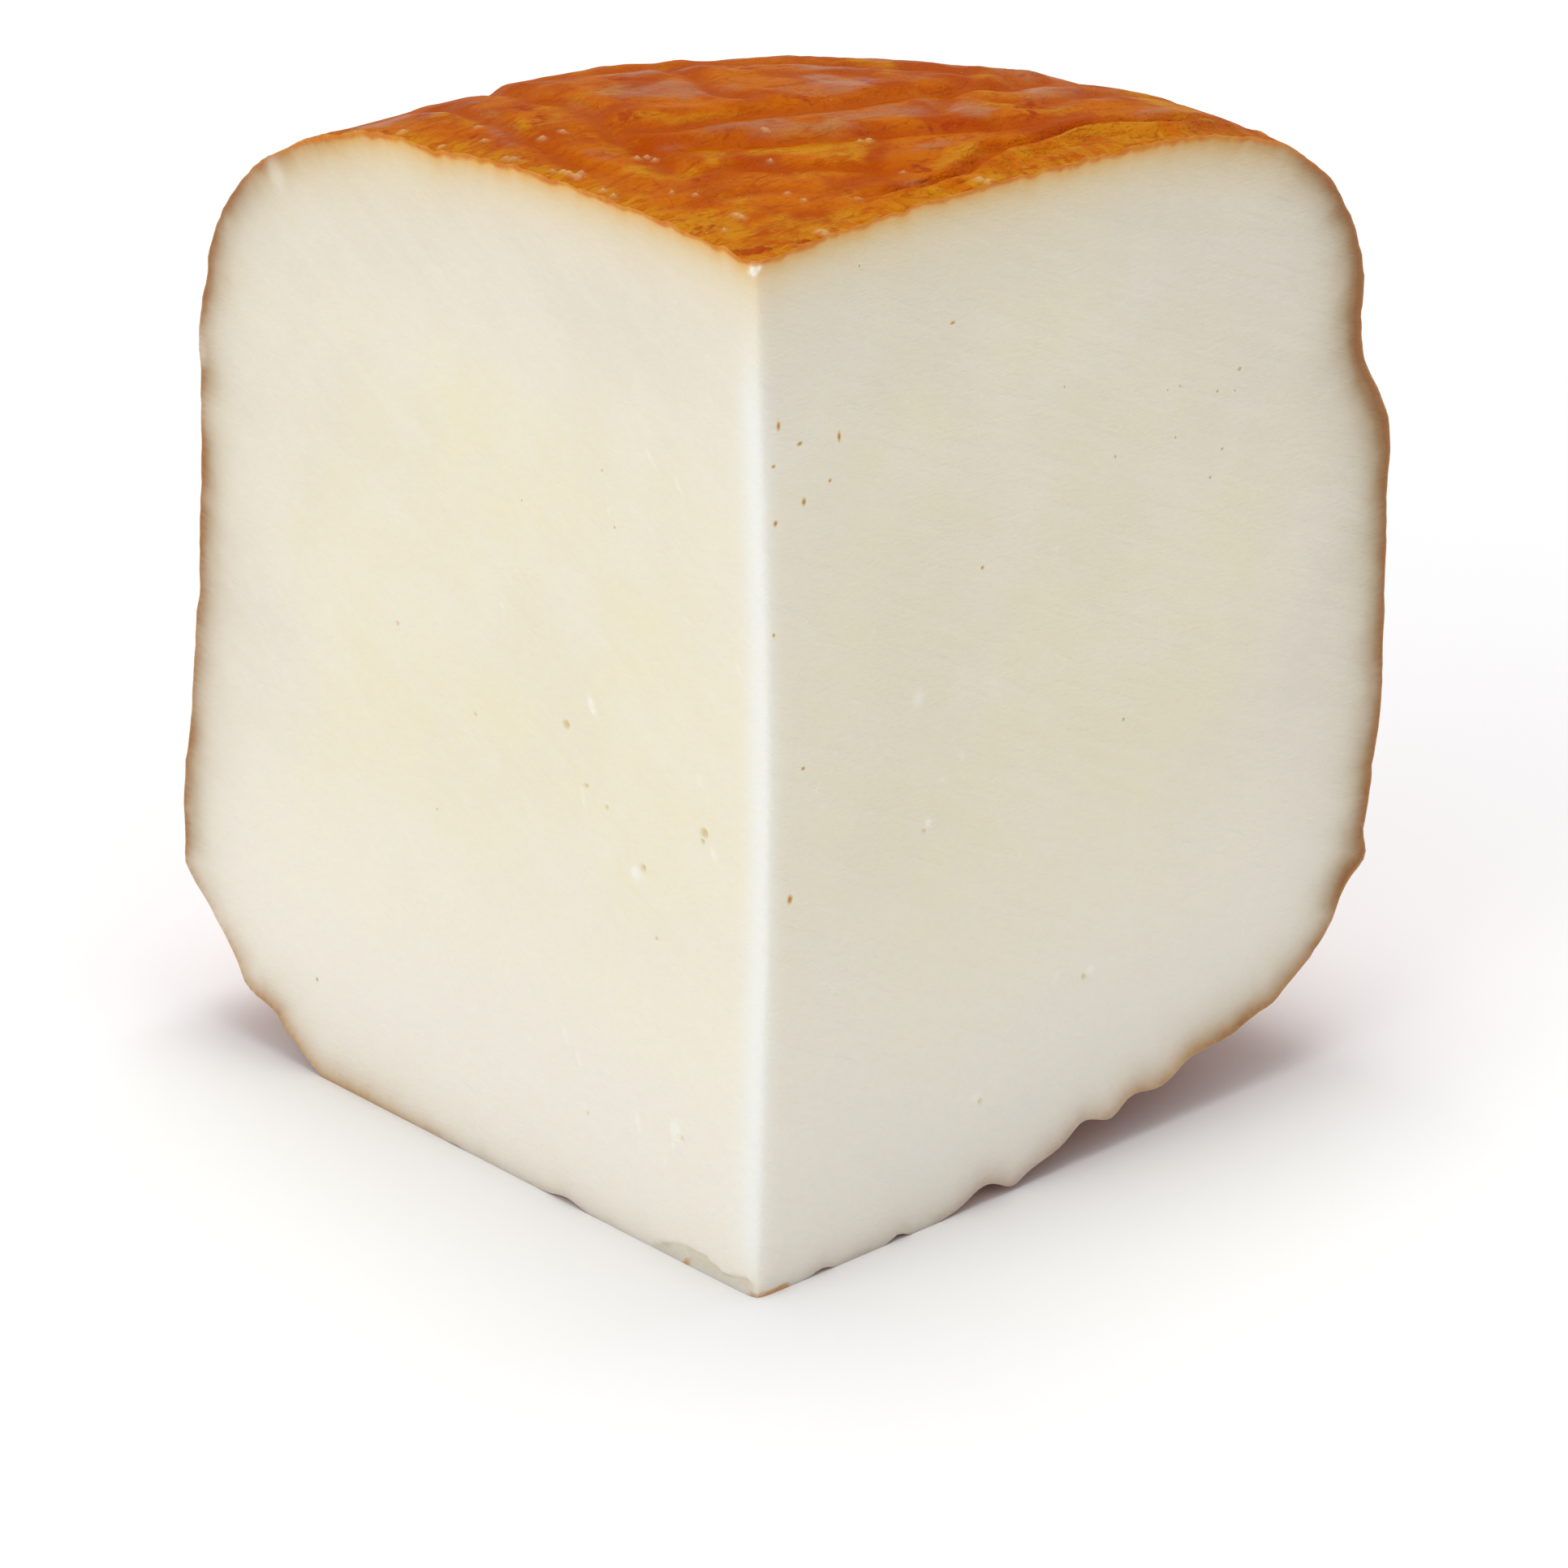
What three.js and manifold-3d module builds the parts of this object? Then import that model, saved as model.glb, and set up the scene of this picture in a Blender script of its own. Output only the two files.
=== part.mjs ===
// A quarter cut from a small, tall wheel of orange-rind cheese, standing on its flat foot.
// Millimetres, +Z up. The wheel's axis is the upright front edge, towards -Y, and the rind is
// towards +Y. The origin is at the middle of the part's box, on the surface that it stands on.

import * as THREE from "three";
import { mergeVertices } from "three/addons/utils/BufferGeometryUtils.js";
import Module from "manifold-3d";

// Driving dimensions of the whole wheel
const wheelHeight = 94; // floor to the middle of the crown
const wheelRadius = 70; // the widest place, low on the side
const bellyHeight = 19; // height of the widest place
const heelInset = 23; // from the widest place in to the flat foot that the wheel stands on
const sideLean = 2; // how far the side leans in from the widest place up to the shoulder
const shoulderDrop = 32; // from the crown's middle down to where the side starts to turn in
const crownRadius = 24; // gently domed middle of the top
const crownRise = 1; // how far the dome stands above the crown's edge

// Roundness of the curves that join those places
const heelReach = 10; // how far the foot runs on level before it turns up
const bellyReach = 9; // how far the widest place runs straight down into the heel
const sideReach = 10; // how far the side runs upright at each of its ends
const shoulderReach = 23; // how far the shoulder runs on upright before it turns in
const crownReach = 28; // how far the crown's edge runs on outwards before it turns down

// The cut
const cutAngle = 90; // degrees between the two cut faces
const edgeRounding = 1.2; // radius of the upright front edge

// Fineness of the faceted surface
const sectorSteps = 36; // facets round the quarter's rind
const heelSteps = 7;
const sideSteps = 9;
const shoulderSteps = 14;
const crownSteps = 8;
const edgeSteps = 4;

const wasm = await Module();
wasm.setup();

const halfCut = THREE.MathUtils.degToRad(cutAngle / 2);

// Rounding the front edge moves it back from the wheel's axis by this much.
const edgeSetback = edgeRounding / Math.sin(halfCut) - edgeRounding;

// Closed manifold-3d solid of a three.js geometry
function solidFrom(geometry) {
  const bare = geometry.clone();
  bare.deleteAttribute("normal");
  bare.deleteAttribute("uv");
  const merged = mergeVertices(bare, 1e-4);
  return new wasm.Manifold(
    new wasm.Mesh({
      numProp: 3,
      vertProperties: merged.getAttribute("position").array,
      triVerts: new Uint32Array(merged.index.array),
    }),
  );
}

// three.js geometry of a manifold-3d solid
function geometryFrom(solid) {
  const { vertProperties, triVerts } = solid.getMesh();
  const geometry = new THREE.BufferGeometry();
  geometry.setAttribute("position", new THREE.BufferAttribute(vertProperties, 3));
  geometry.setIndex(new THREE.BufferAttribute(triVerts, 1));
  geometry.computeVertexNormals();
  return geometry;
}

// Half of the wheel's outline, as (radius, height), from the middle of the foot to the crown
function wheelProfile() {
  const crownEdge = wheelHeight - crownRise;
  const crownSlope = crownRise / (crownRadius / 2);
  const footRadius = wheelRadius - heelInset;
  const shoulderRadius = wheelRadius - sideLean;
  const shoulderHeight = wheelHeight - shoulderDrop;
  const foot = new THREE.Vector2(footRadius, 0);
  const belly = new THREE.Vector2(wheelRadius, bellyHeight);
  const shoulder = new THREE.Vector2(shoulderRadius, shoulderHeight);
  const crown = new THREE.Vector2(crownRadius, crownEdge);
  const heel = new THREE.CubicBezierCurve(
    foot,
    new THREE.Vector2(footRadius + heelReach, 0),
    new THREE.Vector2(wheelRadius, bellyHeight - bellyReach),
    belly,
  );
  const side = new THREE.CubicBezierCurve(
    belly,
    new THREE.Vector2(wheelRadius, bellyHeight + sideReach),
    new THREE.Vector2(shoulderRadius, shoulderHeight - sideReach),
    shoulder,
  );
  const turnIn = new THREE.CubicBezierCurve(
    shoulder,
    new THREE.Vector2(shoulderRadius, shoulderHeight + shoulderReach),
    new THREE.Vector2(crownRadius + crownReach, crownEdge - crownReach * crownSlope),
    crown,
  );
  const dome = new THREE.QuadraticBezierCurve(
    crown,
    new THREE.Vector2(crownRadius / 2, wheelHeight),
    new THREE.Vector2(0, wheelHeight),
  );
  return [
    new THREE.Vector2(0, 0),
    ...heel.getPoints(heelSteps),
    ...side.getPoints(sideSteps).slice(1),
    ...turnIn.getPoints(shoulderSteps).slice(1),
    ...dome.getPoints(crownSteps).slice(1),
  ];
}

// The whole wheel, turned about its axis
function wholeWheel() {
  const aroundSteps = Math.round((sectorSteps * 360) / cutAngle);
  const wheel = new THREE.LatheGeometry(wheelProfile(), aroundSteps);
  wheel.rotateX(Math.PI / 2);
  return solidFrom(wheel);
}

// The upright block that keeps one quarter: two flat cut faces that meet in a rounded edge
function quarterBlock() {
  const reach = wheelRadius * 2;
  const tangent = edgeRounding / Math.tan(halfCut);
  const centre = edgeRounding / Math.sin(halfCut);
  const outline = new THREE.Shape();
  outline.moveTo(tangent * Math.sin(halfCut), tangent * Math.cos(halfCut));
  outline.lineTo(reach * Math.sin(halfCut), reach * Math.cos(halfCut));
  outline.lineTo(0, reach * 2);
  outline.lineTo(-reach * Math.sin(halfCut), reach * Math.cos(halfCut));
  outline.lineTo(-tangent * Math.sin(halfCut), tangent * Math.cos(halfCut));
  outline.absarc(0, centre, edgeRounding, Math.PI + halfCut, 2 * Math.PI - halfCut, false);
  const block = new THREE.ExtrudeGeometry(outline, {
    depth: wheelHeight * 2,
    bevelEnabled: false,
    curveSegments: edgeSteps,
  });
  block.translate(0, 0, -wheelHeight / 2);
  return solidFrom(block);
}

const rindAndPaste = new THREE.MeshStandardMaterial({
  color: 0xe8c78c,
  roughness: 0.5,
  metalness: 0,
});

const quarter = new THREE.Mesh(
  geometryFrom(wholeWheel().intersect(quarterBlock())),
  rindAndPaste,
);
quarter.name = "cheese_quarter";
quarter.position.y = -(wheelRadius + edgeSetback) / 2;

const cheese = new THREE.Group();
cheese.add(quarter);

export default cheese;
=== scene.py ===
"""A quarter cut from a small, tall wheel of orange-rind cheese, standing on its flat foot.

The rind and the two cut faces are one closed mesh. The cheese is worked out in millimetres, and
its mesh, the lights and the camera are made in metres. A place on the rind is given by its turn
(degrees from the middle of the quarter, positive to the right) and its run (millimetres along the
rind from the crown's middle). A place on the cut faces is given by how far across it is
(millimetres from the front edge, negative on the left face) and its height.
"""

import functools
import math

import bpy
import numpy as np
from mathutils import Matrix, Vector, noise
from mathutils.geometry import delaunay_2d_cdt


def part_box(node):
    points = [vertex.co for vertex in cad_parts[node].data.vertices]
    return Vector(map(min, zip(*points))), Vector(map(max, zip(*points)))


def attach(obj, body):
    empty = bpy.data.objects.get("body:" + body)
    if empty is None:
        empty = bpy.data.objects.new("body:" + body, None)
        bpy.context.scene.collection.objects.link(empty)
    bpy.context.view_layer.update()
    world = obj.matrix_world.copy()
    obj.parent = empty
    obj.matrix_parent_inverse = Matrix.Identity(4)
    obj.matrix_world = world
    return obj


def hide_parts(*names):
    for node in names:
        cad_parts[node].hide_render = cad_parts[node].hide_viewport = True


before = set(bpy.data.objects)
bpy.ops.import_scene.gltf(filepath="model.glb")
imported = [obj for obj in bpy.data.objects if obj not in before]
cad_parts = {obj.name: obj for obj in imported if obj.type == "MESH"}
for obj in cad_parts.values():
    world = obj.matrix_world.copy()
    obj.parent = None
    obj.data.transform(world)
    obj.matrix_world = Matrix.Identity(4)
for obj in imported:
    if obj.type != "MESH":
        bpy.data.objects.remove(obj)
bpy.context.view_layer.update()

MM = 0.001  # metres

# ---------------------------------------------------------------- the wheel, from the frame
low, high = (np.array(corner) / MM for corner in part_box("cheese_quarter"))
WHEEL_RADIUS = (high[0] - low[0]) / 2 * math.sqrt(2)  # the cut faces stand at 45 degrees
WHEEL_HEIGHT = high[2] - low[2]
AXIS_Y = high[1] - WHEEL_RADIUS  # the wheel's axis, where the two cut faces would meet
HALF_CUT = 45.0  # degrees from the quarter's middle to each cut face

# The wheel's outline, with the same sizes as the solid that this mesh stands for
BELLY_HEIGHT = 19.0
HEEL_INSET = 23.0
SIDE_LEAN = 2.0
SHOULDER_DROP = 32.0
CROWN_RADIUS = 24.0
CROWN_RISE = 1.0
HEEL_REACH, BELLY_REACH, SIDE_REACH = 10.0, 9.0, 10.0
SHOULDER_REACH, CROWN_REACH = 23.0, 28.0

NOSE_SOFTNESS = 0.5  # how far the rounded front edge stands back from the wheel's axis
NOSE_BOW = 0.9  # how far the front edge bows to the right at half height

# Fineness of the mesh
CAP_RUN = 26.0  # the crown's middle, meshed as a square grid bent into a quarter disc
CAP_STEPS = 84
TOP_STEP = 0.5  # along the rind, over the crown and shoulder
SIDE_STEP = 0.8  # along the rind, down the side and heel
PASTE_STEP = 0.85  # across the plain paste
EDGE_STEP = 0.42  # across the paste beside the rind and along the front edge
EDGE_BAND = 3.0  # width of the finely meshed bands beside the rind and the front edge
BAND_GAP = 0.2  # how far apart the points of a fine band and of the plain paste stay
RIM_GAP = 0.3  # how far the paste's inner points stay from its rim
PIT_STEP = 0.16  # across a pit, a speck or a crumb of curd in the paste
FOOT_EDGE_STEP = 0.6  # along the foot's two straight edges
FOOT_STEP = 1.2  # across the foot
FOOT_GAP = 0.5  # how far the foot's inner points stay from its rim

NOISE_SEED_STEP = 17.3  # how far apart two seeds look into the noise
NOISE_OCTAVE_STEP = 5.1
NOISE_GAIN = 1.6  # brings the noise to about -1 to 1


# ---------------------------------------------------------------- small helpers
def smooth(low_edge, high_edge, x):
    """0 up to the first edge and 1 from the second, with a soft change between them."""
    t = np.clip((x - low_edge) / (high_edge - low_edge), 0, 1)
    return t * t * (3 - 2 * t)


def bump(x):
    """A smooth hill, 1 at x = 0 and almost 0 from x = 2."""
    return np.exp(-x * x)


def lumps(points, size, seed, octaves=1):
    """Smooth noise between about -1 and 1 at each point, with lumps of that size."""
    total = np.zeros(len(points))
    for octave in range(octaves):
        scale = 2 ** octave / size
        shift = NOISE_SEED_STEP * seed + NOISE_OCTAVE_STEP * octave
        places = points * scale + shift
        total += np.array([noise.noise(p) for p in places]) / 2 ** octave
    return total * NOISE_GAIN


def bezier(a, b, c, d, count):
    t = np.linspace(0, 1, count)[:, None]
    a, b, c, d = (np.array(p, float) for p in (a, b, c, d))
    return (1 - t) ** 3 * a + 3 * (1 - t) ** 2 * t * b + 3 * (1 - t) * t ** 2 * c + t ** 3 * d


# ---------------------------------------------------------------- the wheel's outline
def outline():
    """Run, radius and height along the rind, from the crown's middle to the foot's middle."""
    foot_points = 60
    edge = WHEEL_HEIGHT - CROWN_RISE
    slope = CROWN_RISE / (CROWN_RADIUS / 2)
    shoulder = (WHEEL_RADIUS - SIDE_LEAN, WHEEL_HEIGHT - SHOULDER_DROP)
    belly = (WHEEL_RADIUS, BELLY_HEIGHT)
    foot = (WHEEL_RADIUS - HEEL_INSET, 0)
    crown = (CROWN_RADIUS, edge)
    middle = (CROWN_RADIUS / 2, WHEEL_HEIGHT)
    over_crown = (CROWN_RADIUS + CROWN_REACH, edge - CROWN_REACH * slope)
    pieces = [
        bezier((0, WHEEL_HEIGHT), (CROWN_RADIUS / 3, WHEEL_HEIGHT), middle, crown, 60),
        bezier(crown, over_crown, (shoulder[0], shoulder[1] + SHOULDER_REACH), shoulder, 200),
        bezier(shoulder, (shoulder[0], shoulder[1] - SIDE_REACH),
               (WHEEL_RADIUS, BELLY_HEIGHT + SIDE_REACH), belly, 100),
        bezier(belly, (WHEEL_RADIUS, BELLY_HEIGHT - BELLY_REACH),
               (foot[0] + HEEL_REACH, 0), foot, 100),
        np.linspace(foot, (0, 0), foot_points),
    ]
    line = np.vstack([pieces[0]] + [piece[1:] for piece in pieces[1:]])
    run = np.concatenate([[0], np.cumsum(np.hypot(*np.diff(line, axis=0).T))])
    return run, line[:, 0], line[:, 1], run[-foot_points]


RUN, RADIUS, HEIGHT, FOOT_RUN = outline()
SIDE_RUN = float(np.interp(SHOULDER_DROP - WHEEL_HEIGHT, -HEIGHT, RUN))  # shoulder's lower end


def facing(run):
    """Which way the rind faces there, outwards and upwards."""
    reach = 0.6
    ahead, behind = run + reach, np.maximum(run - reach, 0)
    out = np.interp(behind, RUN, HEIGHT) - np.interp(ahead, RUN, HEIGHT)
    up = np.interp(ahead, RUN, RADIUS) - np.interp(behind, RUN, RADIUS)
    length = np.hypot(out, up)
    return out / length, up / length


# ---------------------------------------------------------------- the shape of the rind
# Swellings and flats left by hand-pressing: turn, run, how far out, spread of turn, spread of run
SWELLINGS = [
    (45, 97, 1.8, 26, 16),  # right side bulges at half height
    (45, 60, 1.5, 22, 16),  # right shoulder is squarer than the left
    (45, 82, -1.5, 18, 5),
    (45, 133, -2.5, 22, 11),
    (45, 159, -5.4, 20, 15),  # right of the underside is lifted off the board
    (-45, 131, 0.9, 22, 7),  # left side is fullest low down
    (-45, 104, -0.4, 24, 14),
    (-45, 143, 0.7, 20, 9),
    (-45, 160, 1.0, 16, 9),
    (-33, 61, -1.5, 11, 10),
    (-4, 88, 1.0, 16, 16),
    (14, 116, -1.1, 12, 13),
    (-18, 124, 0.9, 12, 10),
    (6, 62, 0.7, 12, 9),
]

# Bites and knobs along the two cut edges, on the same terms, each only a few millimetres across
EDGE_BITES = [
    (45, 90.5, 1.1, 12, 4.5), (45, 115, 0.2, 4, 3.0),
    (45, 130, 0.9, 3, 1.8), (45, 134, -0.3, 3, 1.6), (45, 143, -0.5, 4, 3.0),
    (45, 149, -0.4, 4, 1.8), (45, 162, 1.3, 6, 2.6), (45, 167.5, 1.0, 6, 1.5),
    (45, 171, -0.8, 6, 1.5), (45, 178.7, 0.6, 6, 1.3), (45, 182, -1.1, 8, 2.2),
    (45, 188.5, 0.3, 8, 1.6), (45, 191.5, -0.5, 8, 1.0), (45, 196, 0.3, 14, 2.0),
    (45, 200, -0.4, 14, 1.2),
    (-45, 78, -0.3, 2.5, 1.5), (-45, 84, 0.25, 3, 1.4), (-45, 107, -0.25, 3, 1.4),
    (-45, 124, 0.2, 4, 2.6), (-45, 133, 0.8, 3, 1.7), (-45, 139, -0.4, 4, 1.9),
    (-45, 143.5, 0.5, 4, 1.3), (-45, 147, -0.5, 4, 1.3), (-45, 154, 0.4, 4, 2.2),
    (-45, 161, -0.4, 5, 1.6), (-45, 170, -0.4, 6, 2.0), (-45, 184, -0.5, 9, 1.8),
    (-45, 39, -0.6, 10, 4.0),
]

# Cloth folds pressed into the crown, drawn on the rind laid flat: x to the right and y to the
# back, from the crown's middle. Depth, width, and height of the lip on the line's left-hand side.
CROWN_FOLDS = [
    ([(38, 43), (27, 34), (24, 31.5), (18, 24), (13, 17.5), (8, 12.5)], 0.85, 0.7, 1.0),
    ([(-16, 26), (-12, 28), (-6, 29.5), (0, 32.5), (8, 37), (17, 43), (27, 52)], 0.55, 1.4, 0.45),
    ([(-11, 24), (-5, 24.5), (3, 25.5), (10, 28), (19, 32.5), (24, 37)], 0.5, 1.2, 0.45),
    ([(-29, 56), (-24, 45), (-19, 37.5), (-13, 27), (-10, 21.5), (-6, 15)], 0.5, 1.1, 0.3),
    ([(-31, 42), (-26, 36), (-23, 31), (-18, 24.5), (-13, 16)], 0.4, 1.0, 0.3),
    ([(-12, 52), (-8, 44), (-4, 38), (1, 32.5)], 0.35, 1.0, 0.25),
    ([(12, 56), (15, 46), (14.5, 38), (12.5, 30)], 0.35, 1.1, 0.3),
    ([(-34, 58), (-20, 54), (-4, 56), (12, 60), (28, 60), (38, 54)], 0.5, 1.4, 0.3),
    ([(-40, 50), (-30, 47), (-14, 47), (-2, 50), (10, 50), (22, 46), (30, 47)], 0.4, 1.2, 0.3),
    ([(-9, 16), (-3, 19), (4, 19.5), (10, 20), (15, 24)], 0.3, 0.9, 0.25),
    ([(14, 40), (18, 38), (22, 38), (27, 44), (35, 50)], 0.35, 1.0, 0.3),
    ([(-7, 11), (-1, 14), (6, 13.5)], 0.22, 0.8, 0.15),
    ([(-26, 66), (-18, 60), (-12, 52)], 0.4, 1.2, 0.2),
]

FOLD_HEIGHT = 0.65  # share of the depths and lips above that still stands in the dried rind
CROWN_FOLDS_END = (70, 84)  # run over which the crown's folds die out
SIDE_FOLDS_START = (58, 74)  # run over which the side's folds set in

# Patches of painted sheen on the crown, a pinkish painted reflection, on the same flat map: x, y,
# half length, half width, slant, strength
SHEEN_PATCHES = [
    (0, 28.0, 9.0, 2.3, 4, 1.0), (8, 33.5, 9.5, 2.6, 14, 0.9), (-9, 38.5, 6.5, 3.4, 8, 1.0),
    (4, 41.0, 5.5, 3.4, 40, 0.9), (15, 35.5, 3.5, 2.0, -40, 1.0), (22.5, 41, 5.0, 3.2, 30, 1.0),
    (-23, 31, 7.0, 1.5, -68, 0.9), (-16, 32.5, 6.5, 0.9, -62, 0.8), (-7, 24.2, 3.6, 1.6, 5, 0.6),
    (12.5, 17.5, 2.4, 1.3, 20, 0.8), (14, 25.8, 4.6, 1.1, 32, 0.8), (-30, 37, 6.0, 2.2, 20, 0.9),
    (-11, 46, 5.5, 2.0, 25, 0.9), (4, 48, 6.0, 2.2, 20, 0.8), (1, 19.8, 5.0, 0.9, 3, 0.4),
    (20, 50, 4.0, 5.0, 10, 0.8), (-13.5, 22, 3.0, 1.2, -60, 0.5), (8, 56, 7.0, 3.0, 5, 0.8),
    (-14, 56, 7.0, 2.6, 0, 0.9), (30, 38.5, 3.5, 0.9, 50, 0.6), (-3, 35.5, 2.6, 1.3, 30, 0.5),
]
AMBER_PATCHES = [
    (-10, 18.5, 2.2, 2.6, -60, 1.0), (-7.5, 17.8, 1.8, 1.0, -10, 0.8), (-8, 30.6, 6.5, 0.9, 9, 0.8),
    (1.5, 23.2, 6.0, 1.3, 18, 0.8), (14.5, 23, 3.4, 1.0, 46, 0.8), (14, 14.8, 2.8, 1.1, 48, 1.0),
    (18.5, 19, 2.4, 1.2, 50, 0.9), (-4, 7, 6.5, 2.6, -30, 0.7), (6, 8.5, 6.0, 2.2, 40, 0.7),
    (3.5, 41, 1.0, 4.0, 30, 0.4), (10, 38.5, 4.5, 0.9, 30, 0.5), (-14, 27.0, 1.2, 3.4, 30, 0.4),
    (32, 44, 3.2, 9.0, 32, 0.9), (26, 30.5, 7.0, 2.4, 47, 1.0), (-2, 13.2, 3.0, 0.8, -15, 0.5),
    (5, 60, 9.0, 1.6, 8, 0.6), (-21, 29, 1.0, 3.0, 25, 0.4),
]
RUST_SMEARS = [
    (-4.7, 5.9, 2.1, 0.75, 14, 1.0), (-1.0, 2.5, 1.7, 0.6, 5, 1.0), (0.7, 0.9, 0.6, 0.4, 60, 1.0),
    (-19.5, 31.5, 1.3, 4.2, 18, 0.7), (7.5, 43, 1.1, 2.6, 10, 0.9), (12.4, 21, 1.0, 1.5, 0, 0.8),
    (-6, 16.8, 1.4, 0.8, 0, 0.6), (5.8, 61, 1.8, 0.9, 0, 0.9), (2.4, 36.2, 2.2, 0.9, 20, 0.6),
    (20.5, 36.5, 1.4, 3.4, -20, 0.8), (3.6, 4.4, 1.2, 0.3, 35, 0.8), (-12, 30, 2.6, 1.2, 10, 0.6),
    (7, 27.6, 1.4, 1.0, 0, 0.7), (14, 31.0, 3.8, 1.0, 32, 0.6), (-25, 28.5, 0.6, 1.8, 0, 0.7),
    (-3.5, 47, 2.6, 1.6, -10, 0.6), (-14, 42.5, 3.4, 1.6, -20, 0.5), (2, 13, 0.9, 0.9, 0, 0.4),
    (-32, 33, 0.5, 1.6, 30, 0.7), (24, 56, 1.2, 4.0, 20, 0.5), (-8, 63, 2.8, 1.0, 5, 0.8),
]
# Crumbs of dried curd stuck to the crown: x, y, radius
CRUMBS = [
    (-15.3, 17.5, 0.42), (-16.0, 18.1, 0.34), (-16.5, 18.6, 0.3), (-15.0, 18.2, 0.3),
    (-17.3, 18.9, 0.24), (-20.6, 21.6, 0.34), (-21.3, 22.3, 0.28), (-13.0, 14.1, 0.28),
    (-12.1, 13.2, 0.24), (-9.9, 22.1, 0.26), (-10.6, 21.4, 0.3), (-9.2, 21.3, 0.24),
    (8.0, 25.9, 0.34), (7.3, 25.6, 0.24), (-2.0, 8.9, 0.36), (-1.5, 8.4, 0.26), (4.9, 6.2, 0.42),
    (5.3, 5.7, 0.3), (17.3, 18.4, 0.4), (17.9, 18.5, 0.3), (-24.2, 31.4, 0.3), (-23.4, 27.4, 0.26),
    (-18.6, 26.0, 0.3), (-17.0, 27.2, 0.28), (1.9, 13.6, 0.24), (3.3, 12.2, 0.22),
    (7.6, 13.4, 0.22), (-2.8, 5.9, 0.22), (-5.5, 12.8, 0.24), (0.2, 20.3, 0.2), (-0.5, 27.0, 0.24),
    (-7.4, 13.4, 0.2), (11.0, 19.6, 0.22), (-27.0, 28.2, 0.24), (-30.5, 31.9, 0.3),
]

# Families of folds around the side: slant in degrees, spacing, depth, seed
SIDE_FOLDS = [(62, 13.0, 0.75, 3), (-48, 16.0, 0.6, 8), (8, 21.0, 0.6, 12)]


def patches(list_of_patches, flat):
    """How much each place on the flat map lies in one of the patches, from 0 to 1."""
    found = np.zeros(len(flat))
    for x, y, half_length, half_width, slant, strength in list_of_patches:
        a = math.radians(slant)
        gap = flat - (x, y)
        ahead = (gap[:, 0] * math.cos(a) + gap[:, 1] * math.sin(a)) / half_length
        aside = (gap[:, 1] * math.cos(a) - gap[:, 0] * math.sin(a)) / half_width
        found = np.maximum(found, strength * np.exp(-(ahead ** 2 + aside ** 2) ** 1.3))
    return found


def crumbs(flat):
    """1 in the middle of each crumb, 0 elsewhere."""
    found = np.zeros(len(flat))
    for x, y, radius in CRUMBS:
        found = np.maximum(found, bump(np.hypot(*(flat - (x, y)).T) / radius))
    return found


def along(points, places):
    """Distance from each place to a bent line through the points, and which side of it."""
    nearest = np.full(len(places), 1e9)
    side = np.zeros(len(places))
    for start, end in zip(points[:-1], points[1:]):
        start, end = np.array(start, float), np.array(end, float)
        way = end - start
        t = np.clip((places - start) @ way / (way @ way), 0, 1)
        gap = places - (start + t[:, None] * way)
        distance = np.hypot(gap[:, 0], gap[:, 1])
        closer = distance < nearest
        nearest = np.where(closer, distance, nearest)
        cross = way[0] * gap[:, 1] - way[1] * gap[:, 0]
        side = np.where(closer, np.sign(cross), side)
    return nearest, side


def end_fade(points, places):
    """1 along a fold, falling to a quarter at its two ends."""
    first, last = np.array(points[0]), np.array(points[-1])
    from_ends = np.minimum(np.hypot(*(places - first).T), np.hypot(*(places - last).T))
    return 0.25 + 0.75 * smooth(0, 6, from_ends)


def cloth_folds(turn, run, flat, points):
    """How far the folds move the rind, and how deep in a fold each place is, from 0 to 1."""
    move, depth_mask = np.zeros(len(run)), np.zeros(len(run))
    for line, depth, width, lip in CROWN_FOLDS:
        distance, side = along(line, flat)
        strength = end_fade(line, flat) * (1 - smooth(*CROWN_FOLDS_END, run))
        groove = bump(distance / width)
        ridge = bump((distance - 2.1 * width) / (1.3 * width)) * np.where(side > 0, 1, 0.3)
        move += FOLD_HEIGHT * strength * (lip * ridge - depth * groove)
        depth_mask = np.maximum(depth_mask, strength * groove)
    around = WHEEL_RADIUS * np.radians(turn)
    for slant, spacing, depth, seed in SIDE_FOLDS:
        angle = math.radians(slant)
        phase = (around * math.cos(angle) + run * math.sin(angle)) / spacing
        phase = phase + 0.35 * lumps(points, 18, seed) + 0.12 * lumps(points, 6, seed + 1)
        offset = np.abs(phase - np.round(phase)) * spacing
        strength = smooth(*SIDE_FOLDS_START, run) * (1 - smooth(FOOT_RUN - 14, FOOT_RUN, run))
        strength *= smooth(-0.35, 0.35, lumps(points, 22, seed + 2))
        strength *= 0.25 + 0.75 * smooth(HALF_CUT, HALF_CUT - 9, np.abs(turn))
        groove = bump(offset / 1.3)
        move += strength * (0.3 * bump((offset - 3.4) / 2) - depth * groove)
        depth_mask = np.maximum(depth_mask, 0.9 * strength * groove)
    return move, depth_mask


def hills(list_of_hills, turn, run):
    """Sum of the hills and hollows in a list, at each place on the rind."""
    total = np.zeros(len(run))
    for at_turn, at_run, out, turn_spread, run_spread in list_of_hills:
        total += out * bump((turn - at_turn) / turn_spread) * bump((run - at_run) / run_spread)
    return total


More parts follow.
